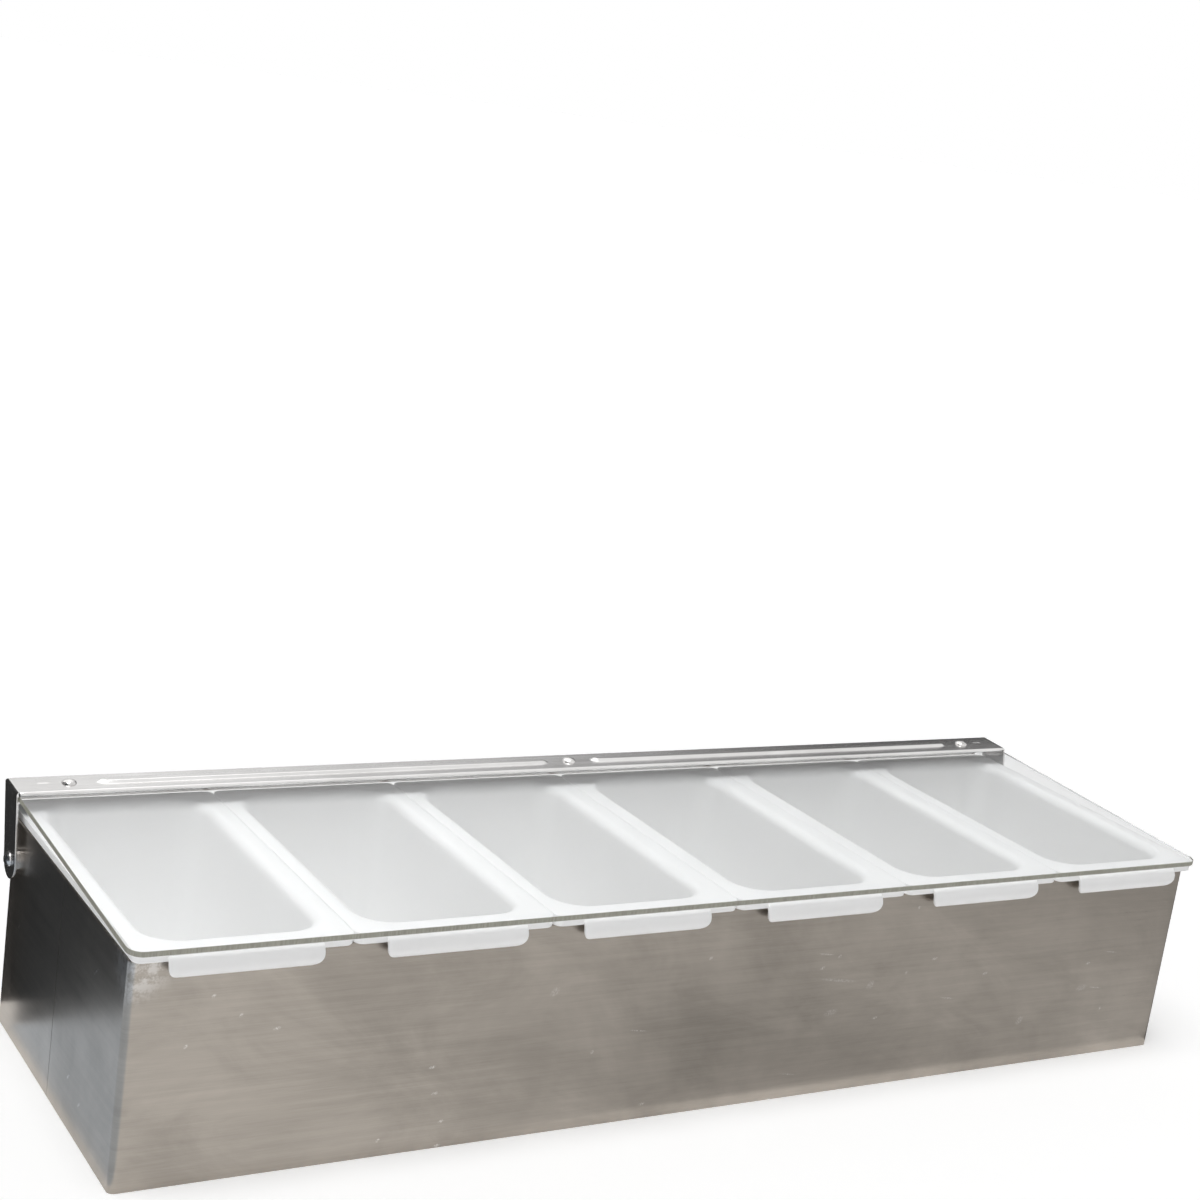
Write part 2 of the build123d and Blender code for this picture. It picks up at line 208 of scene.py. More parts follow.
sheet_grain, given, made = start_group(
    "sheet_grain",
    (
        ("Vector", "NodeSocketVector", None), ("Stretch", "NodeSocketVector", (1, 1, 1)),
        ("Contrast", "NodeSocketFloat", 1.0),
    ),
    ("Streaks",),
)
scaled = add(sheet_grain, "ShaderNodeVectorMath", operation="MULTIPLY")
join(sheet_grain, given["Vector"], scaled.inputs[0])
join(sheet_grain, given["Stretch"], scaled.inputs[1])
coarse = noise(sheet_grain, scaled.outputs[0], scale=0.3, detail=3.0, roughness=0.6)
fine = noise(sheet_grain, scaled.outputs[0], scale=1.4, detail=4.0, roughness=0.75)
both = gather(sheet_grain, "ADD", (coarse, 0.5), (fine, 0.5))
spread = calc(sheet_grain, "MULTIPLY", calc(sheet_grain, "SUBTRACT", both, 0.5), given["Contrast"])
join(sheet_grain, calc(sheet_grain, "ADD", spread, 0.5, clamp=True), made["Streaks"])

hand_smudges, given, made = start_group(
    "hand_smudges",
    (("Vector", "NodeSocketVector", None), ("Size", "NodeSocketFloat", 8.0)),
    ("Mask",),
)
clouds = noise(hand_smudges, given["Vector"], given["Size"], detail=5.0, roughness=0.62, distortion=0.7)
join(hand_smudges, ease(hand_smudges, clouds, low=0.33, high=0.69), made["Mask"])

short_scuffs, given, made = start_group(
    "short_scuffs",
    (("Vector", "NodeSocketVector", None), ("Size", "NodeSocketFloat", 55.0), ("Share", "NodeSocketFloat", 0.25)),
    ("Mask",),
)
parts = add(short_scuffs, "ShaderNodeSeparateXYZ")
join(short_scuffs, given["Vector"], parts.inputs[0])
flat = add(short_scuffs, "ShaderNodeCombineXYZ")
slanted = calc(short_scuffs, "MULTIPLY", parts.outputs[1], scuff_slant)
join(short_scuffs, calc(short_scuffs, "ADD", parts.outputs[0], slanted), flat.inputs[0])
join(short_scuffs, calc(short_scuffs, "ADD", parts.outputs[2], parts.outputs[1]), flat.inputs[1])
marks = None
for turn, stretch in scuff_lays:
    turned = stretched(short_scuffs, flat.outputs[0], (1, 1, 1), turn=(0, 0, turn))
    cells = add(short_scuffs, "ShaderNodeTexVoronoi", voronoi_dimensions="2D")
    join(short_scuffs, stretched(short_scuffs, turned, stretch), cells.inputs["Vector"])
    join(short_scuffs, given["Size"], cells.inputs["Scale"])
    shape = ease(short_scuffs, cells.outputs["Distance"], low=0.025, high=0.06, start=1.0, end=0.0)
    lot = add(short_scuffs, "ShaderNodeSeparateColor")
    join(short_scuffs, cells.outputs["Color"], lot.inputs[0])
    mark = calc(short_scuffs, "MULTIPLY", shape, calc(short_scuffs, "LESS_THAN", lot.outputs[0], given["Share"]))
    marks = mark if marks is None else calc(short_scuffs, "MAXIMUM", marks, mark)
ragged = ease(short_scuffs, noise(short_scuffs, given["Vector"], scale=1400.0, roughness=0.7), low=0.42, high=0.58)
join(short_scuffs, calc(short_scuffs, "MULTIPLY", marks, ragged), made["Mask"])

edge_rub, given, made = start_group(
    "edge_rub",
    (
        ("Vector", "NodeSocketVector", None), ("Corner", "NodeSocketVector", rubbed_corner),
        ("Reach", "NodeSocketFloat", 0.02),
    ),
    ("Mask",),
)
away = add(edge_rub, "ShaderNodeVectorMath", operation="DISTANCE")
join(edge_rub, given["Vector"], away.inputs[0])
join(edge_rub, given["Corner"], away.inputs[1])
near = calc(edge_rub, "SUBTRACT", 1.0, calc(edge_rub, "DIVIDE", away.outputs["Value"], given["Reach"]), clamp=True)
torn = noise(edge_rub, given["Vector"], scale=260.0, detail=4.0, roughness=0.7)
torn = ease(edge_rub, torn, low=0.40, high=0.58)
join(edge_rub, calc(edge_rub, "MULTIPLY", ease(edge_rub, near, low=0.05, high=0.6), torn), made["Mask"])

wall_steel, tree, shader, place = start_material("brushed_wall_steel")
streaks = use_group(tree, sheet_grain, place, Stretch=(grain_along, grain_along, grain_across), Contrast=1.7)["Streaks"]
smudges = use_group(tree, hand_smudges, place, Size=7.5)["Mask"]
blotches = use_group(tree, hand_smudges, stretched(tree, place, blotch_stretch, blotch_turn), Size=16.0)["Mask"]
scuffs = use_group(tree, short_scuffs, place, Size=64.0, Share=0.13)["Mask"]
knocks = use_group(tree, short_scuffs, place, Size=27.0, Share=0.12)["Mask"]
rubbed = use_group(tree, edge_rub, place)["Mask"]
tone = gather(tree, "ADD", (streaks, 0.42), (smudges, 0.34), (blotches, 0.24))
marked = gather(tree, "MAXIMUM", (scuffs, 0.75), (rubbed, 0.65), (knocks, 0.4))
colour = blend_colours(tree, marked, blend_colours(tree, tone, steel_dark, steel_light), steel_scuffed)
join(tree, colour, shader.inputs["Base Color"])
shader.inputs["Metallic"].default_value = 1.0
shader.inputs["Anisotropic"].default_value = 0.5
rough = gather(tree, "ADD", (streaks, 0.05), (smudges, -0.05))
join(tree, calc(tree, "ADD", rough, wall_roughness), shader.inputs["Roughness"])
relief = calc(tree, "SUBTRACT", streaks, calc(tree, "MULTIPLY", marked, mark_depth))
raise_surface(tree, shader, relief, wall_relief, relief_depth)
dress(wall_steel, "front_shell", "rear_shell", "base_pan")

# Inserts: six tubs moulded in translucent white polypropylene, each flared into a lipped rim with a rolled finger tab.
# They stand loose on the bottom pan and lift out by hand. Every edge has the soft radius that the mould leaves.
rim_half = (0.0394685, 0.0725)
rim_middle_y = -0.001
rim_top = 0.088
rim_corner = 0.0035
rim_edge = 0.0003
rim_gap = 0.0002
rim_thickness = 0.0016
lip_bottom = 0.0849
lip_thickness = 0.0014
mouth_half = (0.0308685, 0.0629)
mouth_corner = 0.012
mouth_round = 0.0042
tub_wall = 0.0015
under_round = 0.0028
tub_bottom = 0.0008
tub_floor = 0.0026
floor_round = 0.0055
draft = math.tan(math.radians(2.5))
corner_steps = 10
floor_steps = 6
mouth_steps = 8
edge_steps = 4
lip_steps = 3
under_steps = 5
wall_shares = (0.25, 0.5, 0.75)
tab_half = 0.02775
tab_thickness = 0.0015
tab_corner = 0.005
tab_edge = 0.00055
tab_sharp = math.radians(50)
tab_rows = 22
tab_columns = 12
tab_path = ((-0.0715, 0.08725), (-0.07455, 0.084302), (-0.07245, 0.0794))
plastic_white = (0.968, 0.967, 0.965, 1)
plastic_shade = (0.95, 0.95, 0.948, 1)
plastic_soak = (1.0, 0.98, 0.95)
plastic_soak_depth = 0.0002
plastic_flow = (30, 30, 8)
plastic_roughness = 0.38
plastic_relief = 0.12
plastic_relief_depth = 0.00015
polymer_index = 1.49


def round_outline(half_x, half_y, radius, steps):
    """List the points of a rectangle with round corners, anticlockwise from the right."""
    points = []
    for turn, (side_x, side_y) in enumerate(((1, 1), (-1, 1), (-1, -1), (1, -1))):
        for step in range(steps + 1):
            angle = (turn + step / steps) * math.pi / 2
            points.append((
                side_x * (half_x - radius) + radius * math.cos(angle),
                side_y * (half_y - radius) + radius * math.sin(angle),
            ))
    return points


def quarter(steps):
    """List the sine and cosine over a quarter turn."""
    return [(math.sin(step / steps * math.pi / 2), math.cos(step / steps * math.pi / 2)) for step in range(steps + 1)]


def soften(mesh, sharp_degrees=38):
    """Shade a mesh smooth, apart from edges sharper than this."""
    shape = bmesh.new()
    shape.from_mesh(mesh)
    for face in shape.faces:
        face.smooth = True
    for edge in shape.edges:
        edge.smooth = len(edge.link_faces) != 2 or edge.calc_face_angle(0) < math.radians(sharp_degrees)
    shape.to_mesh(mesh)
    shape.free()


def place_piece(name, mesh, material, body, slot, *replaced):
    """Link a finished mesh as a piece of a body, in place of CAD nodes."""
    if material:
        mesh.materials.append(material)
    piece = bpy.data.objects.new(name, mesh)
    bpy.context.scene.collection.objects.link(piece)
    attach(piece, body)
    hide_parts(*replaced)
    return piece


def tub_loops():
    """List the tub's loops from the middle of its floor over the rim to its foot, as half sizes, radius and height."""
    loops = []

    def at_mouth(offset, height):
        loops.append((mouth_half[0] + offset, mouth_half[1] + offset, mouth_corner + offset, height))

    def at_rim(inset, height):
        loops.append((rim_half[0] - inset, rim_half[1] - inset, rim_corner - inset, height))

    floor_inset = (rim_top - tub_floor) * draft
    for sine, cosine in quarter(floor_steps):
        at_mouth(-floor_inset - floor_round * (1 - sine), tub_floor + floor_round * (1 - cosine))
    for share in wall_shares:
        height = tub_floor + floor_round + share * (rim_top - mouth_round - tub_floor - floor_round)
        at_mouth(-(rim_top - height) * draft, height)
    for sine, cosine in quarter(mouth_steps):
        at_mouth(mouth_round * (1 - cosine), rim_top - mouth_round * (1 - sine))
    for sine, cosine in quarter(edge_steps):
        at_rim(rim_edge * (1 - sine), rim_top - rim_edge * (1 - cosine))
    lip_round = lip_thickness / 2
    for sine, cosine in quarter(lip_steps):
        at_rim(lip_round * (1 - cosine), lip_bottom + lip_round * (1 - sine))
    for sine, cosine in quarter(lip_steps)[1:]:
        at_rim(lip_round + lip_round * sine, lip_bottom + lip_round * (1 - cosine))
    at_rim(lip_thickness, rim_top - rim_thickness)
    for sine, cosine in quarter(under_steps):
        at_mouth(tub_wall + under_round * (1 - sine), rim_top - rim_thickness - under_round * (1 - cosine))
    foot_inset = (rim_top - tub_bottom) * draft - tub_wall
    foot_round = floor_round + tub_wall / 2
    for sine, cosine in quarter(under_steps):
        at_mouth(-foot_inset - foot_round * (1 - cosine), tub_bottom + foot_round * (1 - sine))
    return loops


def tab_strip(centre_x):
    """Roll the finger tab as a strip along an arc, with round lower corners."""
    (y0, z0), (y1, z1), (y2, z2) = tab_path
    double = 2 * (y0 * (z1 - z2) + y1 * (z2 - z0) + y2 * (z0 - z1))
    squares = [y * y + z * z for y, z in tab_path]
    middle_y = (squares[0] * (z1 - z2) + squares[1] * (z2 - z0) + squares[2] * (z0 - z1)) / double
    middle_z = (squares[0] * (y2 - y1) + squares[1] * (y0 - y2) + squares[2] * (y1 - y0)) / double
    radius = math.hypot(y0 - middle_y, z0 - middle_z)
    start = math.atan2(z0 - middle_z, y0 - middle_y)
    end = math.atan2(z2 - middle_z, y2 - middle_y)
    if end < start:
        end += 2 * math.pi
    shape = bmesh.new()
    rows = []
    for step in range(tab_rows + 1):
        angle = start + (end - start) * step / tab_rows
        left_over = radius * (end - start) * (1 - step / tab_rows)
        short = max(0.0, tab_corner - left_over)
        half = tab_half - tab_corner + math.sqrt(max(0.0, tab_corner ** 2 - short ** 2))
        row = []
        for column in range(tab_columns + 1):
            row.append(shape.verts.new((
                centre_x + half * (2 * column / tab_columns - 1),
                middle_y + radius * math.cos(angle),
                middle_z + radius * math.sin(angle),
            )))
        rows.append(row)
    for first, second in zip(rows, rows[1:]):
        for index in range(tab_columns):
            shape.faces.new((first[index], second[index], second[index + 1], first[index + 1]))
    mesh = bpy.data.meshes.new("tab_strip")
    shape.to_mesh(mesh)
    shape.free()
    strip = bpy.data.objects.new("tab_strip", mesh)
    bpy.context.scene.collection.objects.link(strip)
    sheet = strip.modifiers.new("thickness", "SOLIDIFY")
    sheet.thickness = tab_thickness
    sheet.offset = 0.0
    rounding = strip.modifiers.new("edges", "BEVEL")
    rounding.width = tab_edge
    rounding.segments = 3
    rounding.limit_method = "ANGLE"
    rounding.angle_limit = tab_sharp
    finished = bpy.data.meshes.new_from_object(strip.evaluated_get(bpy.context.evaluated_depsgraph_get()))
    bpy.data.objects.remove(strip)
    return finished


def mould_insert(number, centre_x, to_left, to_right):
    """Mould one insert: loops bridged into a closed tub, its rim drawn out to its neighbours, joined by its tab."""
    shape = bmesh.new()
    rings = []
    rim_starts = rim_half[0] - rim_corner - rim_gap
    for half_x, half_y, radius, height in tub_loops():
        ring = []
        for x, y in round_outline(half_x, half_y, radius, corner_steps):
            drawn = to_right if x > rim_starts else -to_left if x < -rim_starts else 0.0
            ring.append(shape.verts.new((centre_x + x + drawn, rim_middle_y + y, height)))
        rings.append(ring)
    for lower, upper in zip(rings, rings[1:]):
        count = len(lower)
        for index in range(count):
            following = (index + 1) % count
            shape.faces.new((lower[index], lower[following], upper[following], upper[index]))
    shape.faces.new(rings[0])
    shape.faces.new(reversed(rings[-1]))
    bmesh.ops.recalc_face_normals(shape, faces=shape.faces)
    shape.from_mesh(tab_strip(centre_x))
    mesh = bpy.data.meshes.new(f"tub_{number}")
    shape.to_mesh(mesh)
    shape.free()
    soften(mesh)
    return mesh


insert_plastic, tree, shader, place = start_material("white_polypropylene")
clouds = use_group(tree, hand_smudges, place, Size=18.0)["Mask"]
scuffs = use_group(tree, short_scuffs, place, Size=60.0, Share=0.2)["Mask"]
flow = noise(tree, stretched(tree, place, plastic_flow))
tone = gather(tree, "ADD", (clouds, 0.55), (flow, 0.45))
join(tree, blend_colours(tree, tone, plastic_shade, plastic_white), shader.inputs["Base Color"])
shader.inputs["Subsurface Weight"].default_value = 0.15
shader.inputs["Subsurface Radius"].default_value = plastic_soak
shader.inputs["Subsurface Scale"].default_value = plastic_soak_depth
shader.inputs["IOR"].default_value = polymer_index
rough = gather(tree, "ADD", (clouds, 0.1), (scuffs, 0.2))
join(tree, calc(tree, "ADD", rough, plastic_roughness), shader.inputs["Roughness"])
raise_surface(tree, shader, noise(tree, place, scale=420.0, detail=4.0), plastic_relief, plastic_relief_depth)
insert_boxes = [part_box(f"insert_{number}") for number in range(1, 7)]
centres = [(low[0] + high[0]) / 2 for low, high in insert_boxes]
reaches = [(right - left - rim_gap) / 2 - rim_half[0] for left, right in zip(centres, centres[1:])]
for number, (centre_x, to_left, to_right) in enumerate(zip(centres, [0.0] + reaches, reaches + [0.0]), 1):
    tub = mould_insert(number, centre_x, to_left, to_right)
    place_piece(f"tub_{number}", tub, insert_plastic, "housing", "insert_plastic", f"insert_{number}")

# Lid: cut from 2 mm clear acrylic sheet with rounded front corners. Its sawn edge looks matt olive, and the right end
# alone is polished clear. The hinge bar grips it along its rear edge, through three drilled holes.
lid_tilt = math.radians(2.3)
lid_origin = Vector((0, -0.0735, 0.0883))
lid_back = Vector((0, math.cos(lid_tilt), math.sin(lid_tilt)))
lid_up = Vector((0, -math.sin(lid_tilt), math.cos(lid_tilt)))
lid_half_length = 0.242
lid_front = -0.002
lid_rear = 0.1465
lid_thickness = 0.002
lid_front_radius = 0.0055
lid_rear_radius = 0.0015
lid_edge_break = 0.00015
lid_corner_steps = 8
lid_tint = (0.985, 0.989, 0.99, 1)
edge_light = (0.40, 0.395, 0.33, 1)
edge_dark = (0.30, 0.295, 0.245, 1)
lid_shadow_tint = (0.94, 0.947, 0.95, 1)
saw_stretch = (1400, 1400, 90)
sawn_roughness = 0.3
sawn_relief = 0.2


def over_lid(x, back, up):
    """Give the place that lies this far back along the lid and this far over its underside."""
    return Vector((x, 0, 0)) + lid_origin + lid_back * back + lid_up * up


def lid_outline(inset):
    """List the lid's outline, anticlockwise, drawn in by an inset."""
    points = []
    for turn, (side_x, end, radius) in enumerate((
        (1, lid_rear, lid_rear_radius), (-1, lid_rear, lid_rear_radius),
        (-1, lid_front, lid_front_radius), (1, lid_front, lid_front_radius),
    )):
        inward = -1 if end == lid_rear else 1
        for step in range(lid_corner_steps + 1):
            angle = (turn + step / lid_corner_steps) * math.pi / 2
            points.append((
                side_x * (lid_half_length - radius) + (radius - inset) * math.cos(angle),
                end + inward * radius + (radius - inset) * math.sin(angle),
            ))
    return points


shape = bmesh.new()
rings = []
for inset, height in (
    (lid_edge_break, 0), (0, lid_edge_break), (0, lid_thickness - lid_edge_break), (lid_edge_break, lid_thickness),
):
    rings.append([shape.verts.new(over_lid(x, back, height)) for x, back in lid_outline(inset)])
for lower, upper in zip(rings, rings[1:]):
    for index in range(len(lower)):
        following = (index + 1) % len(lower)
        band = shape.faces.new((lower[index], lower[following], upper[following], upper[index]))
        band.material_index = 1 if following else 0
shape.faces.new(reversed(rings[0]))
shape.faces.new(rings[-1])
bmesh.ops.recalc_face_normals(shape, faces=shape.faces)
clear_sheet = bpy.data.meshes.new("clear_sheet")
shape.to_mesh(clear_sheet)
shape.free()

lid_acrylic, tree, shader, place = start_material("clear_acrylic")
shader.inputs["Base Color"].default_value = lid_tint
shader.inputs["Transmission Weight"].default_value = 1.0
shader.inputs["IOR"].default_value = polymer_index
haze = use_group(tree, hand_smudges, place, Size=11.0)["Mask"]
hairlines = use_group(tree, short_scuffs, place, Size=40.0, Share=0.15)["Mask"]
join(tree, gather(tree, "ADD", (haze, 0.03), (hairlines, 0.15)), shader.inputs["Roughness"])
passing = add(tree, "ShaderNodeMixShader")
join(tree, add(tree, "ShaderNodeLightPath").outputs["Is Shadow Ray"], passing.inputs[0])
join(tree, shader.outputs[0], passing.inputs[1])
clear = add(tree, "ShaderNodeBsdfTransparent")
clear.inputs["Color"].default_value = lid_shadow_tint
join(tree, clear.outputs[0], passing.inputs[2])
join(tree, passing.outputs[0], tree.nodes["Material Output"].inputs["Surface"])

sawn_edge, tree, shader, place = start_material("sawn_acrylic_edge")
saw_marks = noise(tree, stretched(tree, place, saw_stretch))
colour = blend_colours(tree, ease(tree, saw_marks, low=0.3, high=0.7), edge_dark, edge_light)
join(tree, colour, shader.inputs["Base Color"])
rough = gather(tree, "ADD", (saw_marks, 0.2))
join(tree, calc(tree, "ADD", rough, sawn_roughness), shader.inputs["Roughness"])
shader.inputs["IOR"].default_value = polymer_index
raise_surface(tree, shader, saw_marks, sawn_relief, relief_depth)
clear_sheet.materials.append(lid_acrylic)
clear_sheet.materials.append(sawn_edge)
place_piece("clear_sheet", clear_sheet, None, "lid_assembly", "clear_lid", "lid")

# Hinge bar: pressed and folded from one strip of stainless, brushed along its length. The front edge is hemmed
# under, the rear edge turns down, each end is bent into an ear, and two long beads and two ovals are pressed in.
bar_front = 0.1311
bar_rear = 0.1477
bar_sheet = 0.0008
bar_top = 0.00375
hem_under = 0.002
hem_end = 0.1361
nose_radius = 0.000875
rear_bend = 0.0014
flange_foot = -0.0067
flange_half = 0.2382
ear_face = 0.243
ear_bend = 0.0012
ear_sides = (0.1317, 0.1477)
pivot_back = 0.1338
pivot_up = -0.0239
ear_round = 0.0075
bead_ends = (0.0105, 0.2105)
bead_half = 0.0028
bead_height = 0.001
bead_flank = 0.0013
bead_end_slope = 0.5
oval_x = 0.231
oval_half = (0.003, 0.0015)
oval_depth = 0.00012
bar_edge = 0.00012
bar_sharp = math.radians(55)
nose_steps = 8
bend_steps = 6
eye_steps = 12
eye_quarter_steps = 12.4
row_step = 0.0004
hair = 1e-6
flange_shares = (0.33, 0.66, 1.0)
ear_shares = (0.2, 0.4, 0.6, 0.8, 1.0)
strip_end = ear_face - ear_bend
column_spans = (
    (0.0, 0.0096, 0.0048), (0.0096, 0.0145, 0.0005), (0.0145, 0.2065, 0.006), (0.2065, 0.2115, 0.0005),
    (0.2115, 0.2272, 0.0052), (0.2272, 0.2348, 0.0004), (0.2348, flange_half, 0.0017), (flange_half, strip_end, 0.0018),
)
bar_light = (0.84, 0.83, 0.825, 1)
bar_dark = (0.62, 0.61, 0.60, 1)
bar_scuffed = (0.8, 0.79, 0.78, 1)
bar_grain_across = 1300.0
bar_roughness = 0.14
bar_relief = 0.2


def ease_between(value):
    """Ease a share from 0 to 1."""
    value = min(1.0, max(0.0, value))
    return value * value * (3 - 2 * value)


def pressed(x, back):
    """Give the height that beads and ovals add at a place on the strip."""
    side = abs(x)
    off = back - (bar_front + bar_rear) / 2
    run_out = bead_half / bead_end_slope
    along = max(bead_ends[0] + run_out - side, side - bead_ends[1] + run_out, 0.0)
    height = bead_height * ease_between((bead_half - math.hypot(along * bead_end_slope, off)) / bead_flank)
    along = max(abs(side - oval_x) - oval_half[0] + oval_half[1], 0.0)
    return height - oval_depth * ease_between((oval_half[1] - math.hypot(along, off)) / oval_half[1])


def spread_places(spans):
    """List places along a line, each span with its own step."""
    places = [spans[0][0]]
    for start, end, step in spans:
        count = max(1, round((end - start) / step))
        places += [start + (end - start) * index / count for index in range(1, count + 1)]
    return places


def strip_profile():
    """List the strip's outer skin from the side, as places back and up, from the hem to the flange."""
    profile = [(hem_end, hem_under), ((hem_end + bar_front) / 2, hem_under)]
    middle = (bar_front + nose_radius, hem_under + nose_radius)
    for step in range(nose_steps + 1):
        angle = math.radians(-90 - 180 * step / nose_steps)
        profile.append((middle[0] + nose_radius * math.cos(angle), middle[1] + nose_radius * math.sin(angle)))
    first_flat = len(profile) - 1
    for back in spread_places(((middle[0], bar_rear - rear_bend, row_step),))[1:]:
        profile.append((back, bar_top))
    last_flat = len(profile) - 1
    for step in range(1, bend_steps + 1):
        angle = math.radians(90 - 90 * step / bend_steps)
        profile.append((
            bar_rear - rear_bend + rear_bend * math.cos(angle), bar_top - rear_bend + rear_bend * math.sin(angle),
        ))
    for share in flange_shares:
        profile.append((bar_rear, bar_top - rear_bend + (flange_foot - bar_top + rear_bend) * share))
    return profile, first_flat, last_flat


def ear_rows():
    """List an ear's rows down from the strip's end, as the outward reach, the height, and both edges."""
    rows = []
    for step in range(1, bend_steps + 1):
        share = step / bend_steps
        angle = share * math.pi / 2
        rows.append((
            ear_face - ear_bend + ear_bend * math.sin(angle), bar_top - ear_bend + ear_bend * math.cos(angle),
            (bar_front + nose_radius) * (1 - share) + ear_sides[0] * share,
            (bar_rear - rear_bend) * (1 - share) + ear_sides[1] * share,
        ))
    top = bar_top - ear_bend
    for share in ear_shares:
        rows.append((
            ear_face, top + (pivot_up - top) * share,
            ear_sides[0] + (pivot_back - ear_round - ear_sides[0]) * share,
            ear_sides[1] + (pivot_back + ear_round - ear_sides[1]) * share,
        ))
    for step in range(1, eye_steps + 1):
        angle = step / eye_quarter_steps * math.pi / 2
        half = ear_round * math.cos(angle)
        rows.append((ear_face, pivot_up - ear_round * math.sin(angle), pivot_back - half, pivot_back + half))
    return rows


shape = bmesh.new()
profile, first_flat, last_flat = strip_profile()
half_places = spread_places(column_spans)
columns = []
for x in [-place for place in reversed(half_places[1:])] + half_places:
    column = []
    for index, (back, up) in enumerate(profile):
        raised = pressed(x, back) if first_flat < index < last_flat else 0.0
        cut_away = index > last_flat + 1 and abs(x) > flange_half + hair
        column.append(None if cut_away else shape.verts.new(over_lid(x, back, up + raised)))
    columns.append(column)
for first, second in zip(columns, columns[1:]):
    for index in range(len(profile) - 1):
        corners = (first[index], second[index], second[index + 1], first[index + 1])
        if None not in corners:
            shape.faces.new(corners)
shares = [
    (back - profile[first_flat][0]) / (profile[last_flat][0] - profile[first_flat][0])
    for back, up in profile[first_flat:last_flat + 1]
]
for side, column in ((-1, columns[0]), (1, columns[-1])):
    above = column[first_flat:last_flat + 1]
    for reach, up, front, rear in ear_rows():
        row = [shape.verts.new(over_lid(side * reach, front + (rear - front) * share, up)) for share in shares]
        for index in range(len(row) - 1):
            corners = (above[index], row[index], row[index + 1], above[index + 1])
            shape.faces.new(corners if side > 0 else corners[::-1])
        above = row
bmesh.ops.recalc_face_normals(shape, faces=shape.faces)
highest = max(shape.faces, key=lambda face: face.calc_center_median().z)
if highest.normal.z < 0:
    bmesh.ops.reverse_faces(shape, faces=shape.faces)
strip_mesh = bpy.data.meshes.new("strip_skin")
shape.to_mesh(strip_mesh)
shape.free()
strip = bpy.data.objects.new("strip_skin", strip_mesh)
bpy.context.scene.collection.objects.link(strip)
sheet = strip.modifiers.new("sheet", "SOLIDIFY")
sheet.thickness = bar_sheet
sheet.offset = -1.0
edges = strip.modifiers.new("edges", "BEVEL")
edges.width = bar_edge
edges.segments = 2
edges.limit_method = "ANGLE"
edges.angle_limit = bar_sharp
pressed_bar = bpy.data.meshes.new_from_object(strip.evaluated_get(bpy.context.evaluated_depsgraph_get()))
bpy.data.objects.remove(strip)
pressed_bar.name = "pressed_bar"
soften(pressed_bar, 45)

bar_steel, tree, shader, place = start_material("brushed_bar_steel")
bar_stretch = (grain_along, bar_grain_across, bar_grain_across)
streaks = use_group(tree, sheet_grain, place, Stretch=bar_stretch, Contrast=1.5)["Streaks"]
smudges = use_group(tree, hand_smudges, place, Size=16.0)["Mask"]
scuffs = use_group(tree, short_scuffs, place, Size=60.0, Share=0.25)["Mask"]
colour = blend_colours(tree, gather(tree, "ADD", (streaks, 0.6), (smudges, 0.4)), bar_dark, bar_light)
colour = blend_colours(tree, gather(tree, "ADD", (scuffs, 0.4)), colour, bar_scuffed)
join(tree, colour, shader.inputs["Base Color"])
shader.inputs["Metallic"].default_value = 1.0
shader.inputs["Anisotropic"].default_value = 0.4
rough = gather(tree, "ADD", (streaks, 0.14))
join(tree, calc(tree, "ADD", rough, bar_roughness), shader.inputs["Roughness"])
relief = calc(tree, "SUBTRACT", streaks, gather(tree, "ADD", (scuffs, 0.5)))
raise_surface(tree, shader, relief, bar_relief, relief_depth)
place_piece("pressed_bar", pressed_bar, bar_steel, "lid_assembly", "fittings", "hinge_bar")

# Rivets: domed stainless rivets, spun over a punched washer inside. Three clamp the bar on the lid, and one at each
# end carries the bar's ear. Their heads are polished by the rivet set and dull round the foot.
seat_back = (bar_front + bar_rear) / 2
lid_rivet_x = 0.221
lid_rivet_grip = 0.00455
hinge_rivet_x = 0.2431
rivet_sides = 24
tail_taper = 0.8
rivet_dull = (0.50, 0.49, 0.48, 1)
rivet_bright = (0.74, 0.73, 0.72, 1)
rivet_roughness = 0.18
rivet_relief = 0.15
rivet_cluster = bpy.data.node_groups.new("rivet_cluster", "GeometryNodeTree")
for label, kind, value in (
    ("Head Radius", "NodeSocketFloat", 0.0029), ("Head Height", "NodeSocketFloat", 0.0015),
    ("Shank Radius", "NodeSocketFloat", 0.0016), ("Grip", "NodeSocketFloat", 0.0045),
    ("Tail Radius", "NodeSocketFloat", 0.0024), ("Tail Height", "NodeSocketFloat", 0.0009),
    ("Count", "NodeSocketInt", 3), ("Start", "NodeSocketVector", (0, 0, 0)), ("Step", "NodeSocketVector", (0, 0, 0)),
    ("Turn", "NodeSocketVector", (0, 0, 0)), ("Turn Step", "NodeSocketVector", (0, 0, 0)),
    ("Material", "NodeSocketMaterial", None),
):
    socket = rivet_cluster.interface.new_socket(name=label, in_out="INPUT", socket_type=kind)
    if value is not None:
        socket.default_value = value
rivet_cluster.interface.new_socket(name="Geometry", in_out="OUTPUT", socket_type="NodeSocketGeometry")
given = add(rivet_cluster, "NodeGroupInput").outputs
made = add(rivet_cluster, "NodeGroupOutput").inputs


def vector_of(x=0.0, y=0.0, z=0.0):
    """Join three values into a vector inside the rivet nodes."""
    node = add(rivet_cluster, "ShaderNodeCombineXYZ")
    for index, value in enumerate((x, y, z)):
        join(rivet_cluster, value, node.inputs[index])
    return node.outputs[0]


def moved(geometry, offset, stretch=(1, 1, 1)):
    """Stretch a solid and move it inside the rivet nodes."""
    node = add(rivet_cluster, "GeometryNodeTransform")
    join(rivet_cluster, geometry, node.inputs["Geometry"])
    join(rivet_cluster, offset, node.inputs["Translation"])
    join(rivet_cluster, stretch, node.inputs["Scale"])
    return node.outputs[0]


